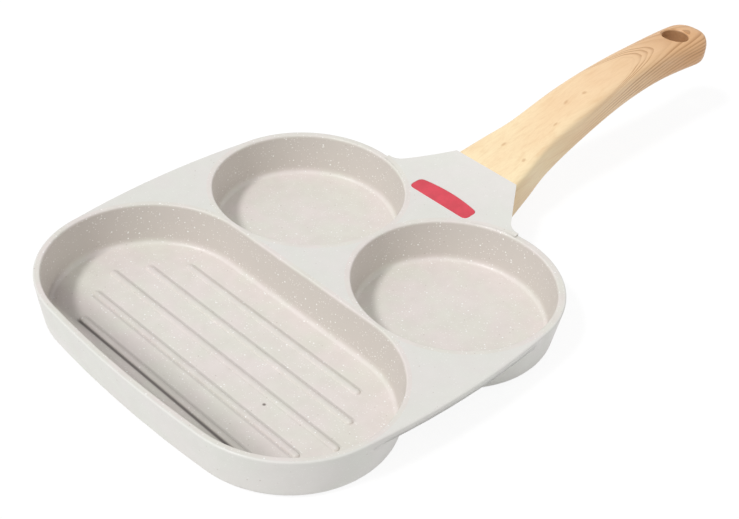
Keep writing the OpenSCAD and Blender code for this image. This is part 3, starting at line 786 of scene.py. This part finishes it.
def grown(name, tree, values):
    """Runs a tree on an empty mesh and keeps what it makes as a plain mesh object."""
    blank = bpy.data.objects.new(name, bpy.data.meshes.new(name + " seed"))
    bpy.context.scene.collection.objects.link(blank)
    grow = blank.modifiers.new("grow", "NODES")
    grow.node_group = tree
    for item in tree.interface.items_tree:
        if item.in_out == "INPUT" and item.name in values:
            grow[item.identifier] = values[item.name]
    ready = blank.evaluated_get(bpy.context.evaluated_depsgraph_get())
    mesh = bpy.data.meshes.new_from_object(ready)
    blank.modifiers.remove(grow)
    mesh.name = name
    blank.data = mesh
    return blank


grip = grown("grip", grip_tree, {"Finish": wood})
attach(grip, "root")
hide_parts("handle")

# One zinc-plated machine screw holds the handle to the tang from below, through a split spring washer.
# Both are plain steel parts, turned or coiled, and sit in the round recess under the handle's root.
zinc, tree, shader = new_finish("zinc-plated steel")
place = object_place(tree)
zinc_dents = use(tree, fine_dents, Place=place, Per_metre=900.0, Coarseness=0.6)
zinc_cloud = noise(tree, place, 700.0, 3.0, 0.6)
zinc_colour = mixed(tree, ease(tree, zinc_cloud, 0.3, 0.7), colour(188, 190, 192), colour(214, 214, 210))
zinc_spots = use(tree, flecks, Place=place, Cells=2200.0, Size=0.3, Share=0.15)["Mask"]
zinc_colour = mixed(tree, number(tree, "MULTIPLY", zinc_spots, 0.4), zinc_colour, colour(150, 150, 148))
feed(tree, shader["Base Color"], zinc_colour)
shader["Metallic"].default_value = 1.0
feed(tree, shader["Roughness"], ease(tree, zinc_dents["Mask"], 0.0, 1.0, 0.28, 0.42))
feed(tree, shader["Normal"], raised(tree, zinc_dents["Height"], 0.02 * mm, 0.4))
for node, name in (("handle_screw", "screw"), ("lock_washer", "washer")):
    fixing = merged_copy(node, name)
    fixing.data.materials.append(zinc)
    soften(fixing, 0.08 * mm, 2, 30, 40)
    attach(fixing, "root")
    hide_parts(node)

# The pan stands on a wide white table top, which takes its soft shadow.
floor_mesh = bpy.data.meshes.new("table top")
half = 4
table_corners = [(-half, -half, 0), (half, -half, 0), (half, half, 0), (-half, half, 0)]
floor_mesh.from_pydata(table_corners, [], [(0, 1, 2, 3)])
floor = bpy.data.objects.new("table_top", floor_mesh)
bpy.context.scene.collection.objects.link(floor)
table_finish = bpy.data.materials.new("table top")
table_finish.use_nodes = True
tree = table_finish.node_tree
tree.nodes.clear()
matt = new_node(tree, "ShaderNodeBsdfDiffuse")
matt.inputs["Color"].default_value = (0.8, 0.8, 0.8, 1)
seen = new_node(tree, "ShaderNodeBsdfDiffuse")
seen.inputs["Color"].default_value = (0.14, 0.14, 0.14, 1)
lift = new_node(tree, "ShaderNodeEmission")
lift.inputs["Strength"].default_value = 0.89
seen_lit = new_node(tree, "ShaderNodeAddShader")
tree.links.new(seen.outputs[0], seen_lit.inputs[0])
tree.links.new(lift.outputs[0], seen_lit.inputs[1])
rays = new_node(tree, "ShaderNodeLightPath")
looked_at = number(tree, "MAXIMUM", rays.outputs["Is Camera Ray"], rays.outputs["Is Glossy Ray"])
either = new_node(tree, "ShaderNodeMixShader")
tree.links.new(looked_at, either.inputs[0])
tree.links.new(matt.outputs[0], either.inputs[1])
tree.links.new(seen_lit.outputs[0], either.inputs[2])
tree.links.new(either.outputs[0], new_node(tree, "ShaderNodeOutputMaterial").inputs["Surface"])
floor_mesh.materials.append(table_finish)

# Light comes from a pale room all round, and from one wide soft lamp high beyond the grill end.
world = bpy.data.worlds.new("pale room")
bpy.context.scene.world = world
world.use_nodes = True
tree = world.node_tree
room = next(n for n in tree.nodes if n.type == "BACKGROUND")
room.inputs["Color"].default_value = (1.0, 1.0, 1.0, 1)
rays = new_node(tree, "ShaderNodeLightPath")
looked_at = number(tree, "MAXIMUM", rays.outputs["Is Camera Ray"], rays.outputs["Is Glossy Ray"])
looked_at = number(tree, "MAXIMUM", looked_at, rays.outputs["Is Transmission Ray"])
feed(tree, room.inputs["Strength"], ease(tree, looked_at, 0.0, 1.0, 0.58, 1.0))
lamp = bpy.data.lights.new("wide lamp", "SUN")
lamp.energy = 1.5
lamp.angle = math.radians(9)
lamp_object = bpy.data.objects.new("wide_lamp", lamp)
bpy.context.scene.collection.objects.link(lamp_object)
toward_lamp = Vector((-0.78, 0.08, 1.0)).normalized()
lamp_object.rotation_euler = toward_lamp.to_track_quat("Z", "Y").to_euler()

# The camera looks down on the pan from beyond its right well, with the handle running up to the right.
camera = bpy.data.cameras.new("camera")
camera.sensor_fit = "HORIZONTAL"
camera.sensor_width = 36
camera.lens = 68.01
image_width = 739
camera.shift_x = -0.5 / image_width
camera.shift_y = 0.5 / image_width
camera.clip_start = 0.01
camera.clip_end = 20
look_round = math.radians(42.53)
look_down = math.radians(36.94)
roll = math.radians(4.99)
stands_at = Vector((-427.3, -343.9, 392.0)) * mm
ahead = Vector((
    math.cos(look_down) * math.cos(look_round),
    math.cos(look_down) * math.sin(look_round),
    -math.sin(look_down),
))
level_right = Vector((math.sin(look_round), -math.cos(look_round), 0))
level_up = level_right.cross(ahead)
view_right = math.cos(roll) * level_right + math.sin(roll) * level_up
view_up = -math.sin(roll) * level_right + math.cos(roll) * level_up
camera_object = bpy.data.objects.new("camera", camera)
bpy.context.scene.collection.objects.link(camera_object)
turned = Matrix((view_right, view_up, -ahead)).transposed().to_4x4()
camera_object.matrix_world = Matrix.Translation(stands_at) @ turned
bpy.context.scene.camera = camera_object
bpy.context.scene.view_settings.view_transform = "Standard"
